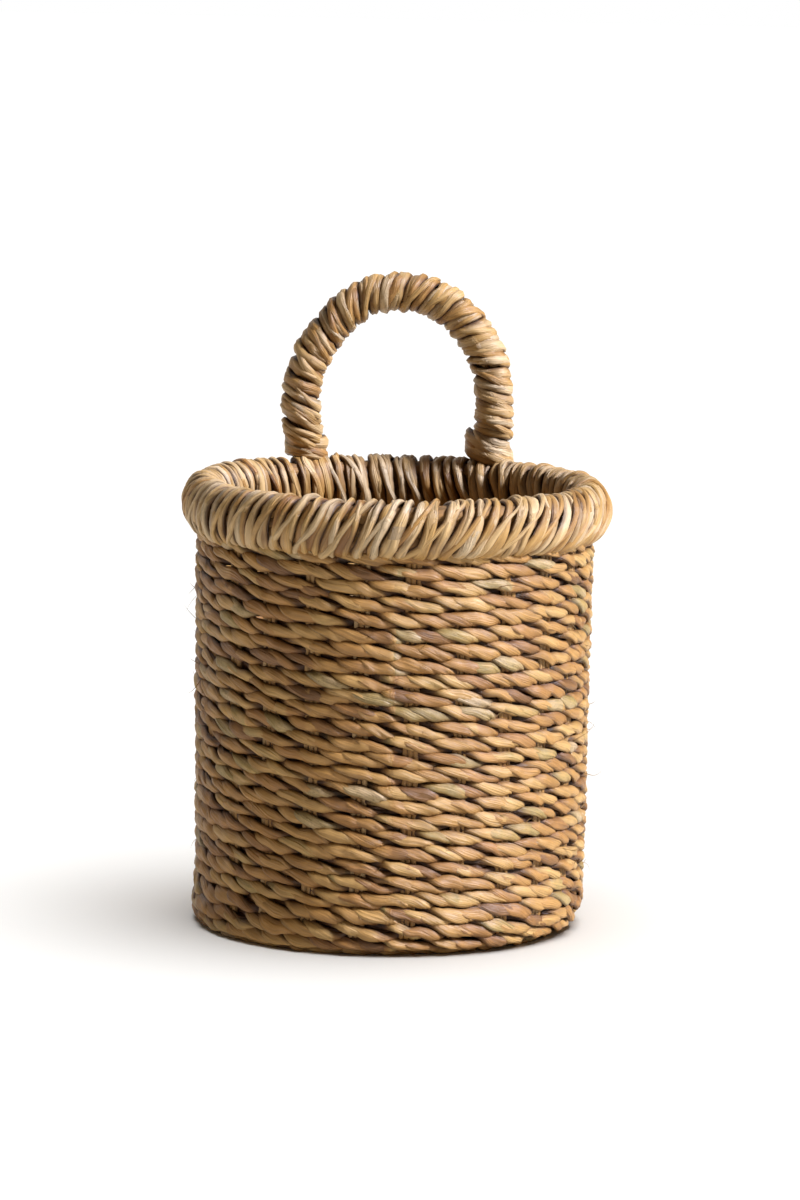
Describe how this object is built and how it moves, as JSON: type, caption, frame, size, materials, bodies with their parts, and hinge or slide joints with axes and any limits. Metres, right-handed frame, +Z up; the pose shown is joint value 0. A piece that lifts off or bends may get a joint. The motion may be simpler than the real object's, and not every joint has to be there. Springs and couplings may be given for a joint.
{
  "type": "seagrass storage basket",
  "caption": "Small round twined seagrass storage basket with a rolled wrapped rim and one upright wrapped handle at the back.",
  "frame": {"origin": "the middle of the underside, on the floor", "axes": "+Z up; -Y is the front, +Y the back where the handle stands; +X to the right seen from the front"},
  "size_m": [0.18, 0.18, 0.2699],
  "materials": {
    "weave_leaf": "matte",
    "stake_leaf": "matte",
    "rim_leaf": "matte",
    "handle_leaf": "matte",
    "core_bundle": "matte"
  },
  "bodies": {
    "root": {"stake_01": "stake_leaf", "stake_02": "stake_leaf", "stake_03": "stake_leaf", "stake_04": "stake_leaf", "stake_05": "stake_leaf", "stake_06": "stake_leaf", "stake_07": "stake_leaf", "stake_08": "stake_leaf", "stake_09": "stake_leaf", "stake_10": "stake_leaf", "stake_11": "stake_leaf", "stake_12": "stake_leaf", "stake_13": "stake_leaf", "stake_14": "stake_leaf", "stake_15": "stake_leaf", "stake_16": "stake_leaf", "stake_17": "stake_leaf", "stake_18": "stake_leaf", "stake_19": "stake_leaf", "stake_20": "stake_leaf", "stake_21": "stake_leaf", "stake_22": "stake_leaf", "stake_23": "stake_leaf", "stake_24": "stake_leaf", "wall_course_01": "weave_leaf", "wall_course_02": "weave_leaf", "wall_course_03": "weave_leaf", "wall_course_04": "weave_leaf", "wall_course_05": "weave_leaf", "wall_course_06": "weave_leaf", "wall_course_07": "weave_leaf", "wall_course_08": "weave_leaf", "wall_course_09": "weave_leaf", "wall_course_10": "weave_leaf", "wall_course_11": "weave_leaf", "wall_course_12": "weave_leaf", "wall_course_13": "weave_leaf", "base_course_01": "weave_leaf", "base_course_02": "weave_leaf", "base_course_03": "weave_leaf", "base_course_04": "weave_leaf", "base_centre_knot": "weave_leaf", "rim_wrap": "rim_leaf", "rim_core": "core_bundle", "handle_core": "core_bundle", "handle_wrap": "handle_leaf", "lashing_left": "handle_leaf", "lashing_right": "handle_leaf"}
  },
  "joints": []
}
